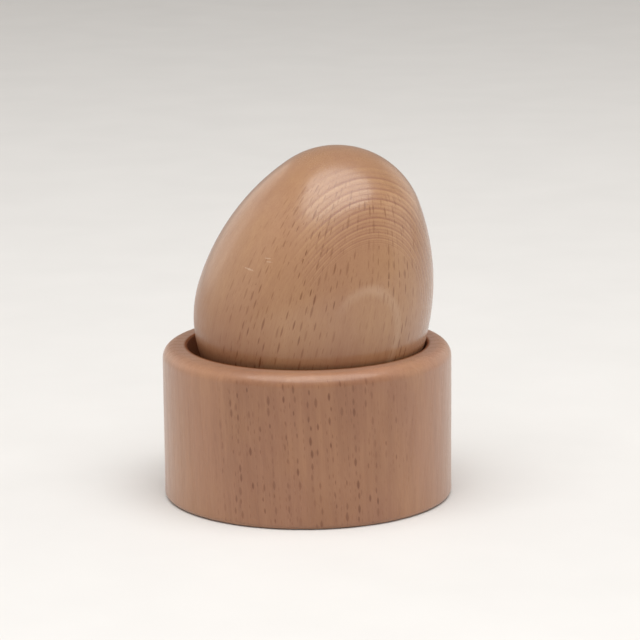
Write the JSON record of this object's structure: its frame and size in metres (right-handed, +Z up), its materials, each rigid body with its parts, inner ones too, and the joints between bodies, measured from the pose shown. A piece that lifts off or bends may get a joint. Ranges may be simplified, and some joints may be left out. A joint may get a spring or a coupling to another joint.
{
  "type": "egg shaker",
  "caption": "Turned wooden egg with a plugged chamber of loose steel shot, resting at a lean in a short dished wooden cup.",
  "frame": {"origin": "centre of the cup's flat base face", "axes": "+Z up; the egg leans towards +X and a little towards -Y, which is the front"},
  "size_m": [0.0556, 0.0556, 0.0684],
  "materials": {
    "cup_wood": "fine-sanded beech, satin",
    "egg_wood": "fine-sanded beech, satin",
    "plug_wood": "beech end grain, sanded flush",
    "shot_steel": "plain rolled balls"
  },
  "bodies": {
    "cup": {"cup": "cup_wood"},
    "egg": {"egg_shell": "egg_wood", "end_plug": "plug_wood"},
    "shot_01": {"pellet_01": "shot_steel"},
    "shot_02": {"pellet_02": "shot_steel"},
    "shot_03": {"pellet_03": "shot_steel"},
    "shot_04": {"pellet_04": "shot_steel"},
    "shot_05": {"pellet_05": "shot_steel"},
    "shot_06": {"pellet_06": "shot_steel"},
    "shot_07": {"pellet_07": "shot_steel"},
    "shot_08": {"pellet_08": "shot_steel"},
    "shot_09": {"pellet_09": "shot_steel"},
    "shot_10": {"pellet_10": "shot_steel"},
    "shot_11": {"pellet_11": "shot_steel"},
    "shot_12": {"pellet_12": "shot_steel"},
    "shot_13": {"pellet_13": "shot_steel"},
    "shot_14": {"pellet_14": "shot_steel"},
    "shot_15": {"pellet_15": "shot_steel"},
    "shot_16": {"pellet_16": "shot_steel"},
    "shot_17": {"pellet_17": "shot_steel"},
    "shot_18": {"pellet_18": "shot_steel"},
    "shot_19": {"pellet_19": "shot_steel"}
  },
  "joints": [
    {"name": "egg_lift", "type": "slide", "parent": "cup", "child": "egg", "axis": [0, 0, 1], "range_m": [0, 0.05]},
    {"name": "pellet_01_travel", "type": "slide", "parent": "egg", "child": "shot_01", "axis": [0.2891, -0.1669, 0.9426], "range_m": [0, 0.0309]},
    {"name": "pellet_02_travel", "type": "slide", "parent": "egg", "child": "shot_02", "axis": [0.2891, -0.1669, 0.9426], "range_m": [0, 0.0309]},
    {"name": "pellet_03_travel", "type": "slide", "parent": "egg", "child": "shot_03", "axis": [0.2891, -0.1669, 0.9426], "range_m": [0, 0.0309]},
    {"name": "pellet_04_travel", "type": "slide", "parent": "egg", "child": "shot_04", "axis": [0.2891, -0.1669, 0.9426], "range_m": [0, 0.0309]},
    {"name": "pellet_05_travel", "type": "slide", "parent": "egg", "child": "shot_05", "axis": [0.2891, -0.1669, 0.9426], "range_m": [0, 0.0309]},
    {"name": "pellet_06_travel", "type": "slide", "parent": "egg", "child": "shot_06", "axis": [0.2891, -0.1669, 0.9426], "range_m": [0, 0.0309]},
    {"name": "pellet_07_travel", "type": "slide", "parent": "egg", "child": "shot_07", "axis": [0.2891, -0.1669, 0.9426], "range_m": [0, 0.0309]},
    {"name": "pellet_08_travel", "type": "slide", "parent": "egg", "child": "shot_08", "axis": [0.2891, -0.1669, 0.9426], "range_m": [0, 0.0309]},
    {"name": "pellet_09_travel", "type": "slide", "parent": "egg", "child": "shot_09", "axis": [0.2891, -0.1669, 0.9426], "range_m": [0, 0.0309]},
    {"name": "pellet_10_travel", "type": "slide", "parent": "egg", "child": "shot_10", "axis": [0.2891, -0.1669, 0.9426], "range_m": [0, 0.0309]},
    {"name": "pellet_11_travel", "type": "slide", "parent": "egg", "child": "shot_11", "axis": [0.2891, -0.1669, 0.9426], "range_m": [0, 0.0309]},
    {"name": "pellet_12_travel", "type": "slide", "parent": "egg", "child": "shot_12", "axis": [0.2891, -0.1669, 0.9426], "range_m": [0, 0.0309]},
    {"name": "pellet_13_travel", "type": "slide", "parent": "egg", "child": "shot_13", "axis": [0.2891, -0.1669, 0.9426], "range_m": [0, 0.0309]},
    {"name": "pellet_14_travel", "type": "slide", "parent": "egg", "child": "shot_14", "axis": [0.2891, -0.1669, 0.9426], "range_m": [0, 0.0309]},
    {"name": "pellet_15_travel", "type": "slide", "parent": "egg", "child": "shot_15", "axis": [0.2891, -0.1669, 0.9426], "range_m": [0, 0.0309]},
    {"name": "pellet_16_travel", "type": "slide", "parent": "egg", "child": "shot_16", "axis": [0.2891, -0.1669, 0.9426], "range_m": [0, 0.0309]},
    {"name": "pellet_17_travel", "type": "slide", "parent": "egg", "child": "shot_17", "axis": [0.2891, -0.1669, 0.9426], "range_m": [0, 0.0309]},
    {"name": "pellet_18_travel", "type": "slide", "parent": "egg", "child": "shot_18", "axis": [0.2891, -0.1669, 0.9426], "range_m": [0, 0.0309]},
    {"name": "pellet_19_travel", "type": "slide", "parent": "egg", "child": "shot_19", "axis": [0.2891, -0.1669, 0.9426], "range_m": [0, 0.0309]}
  ]
}
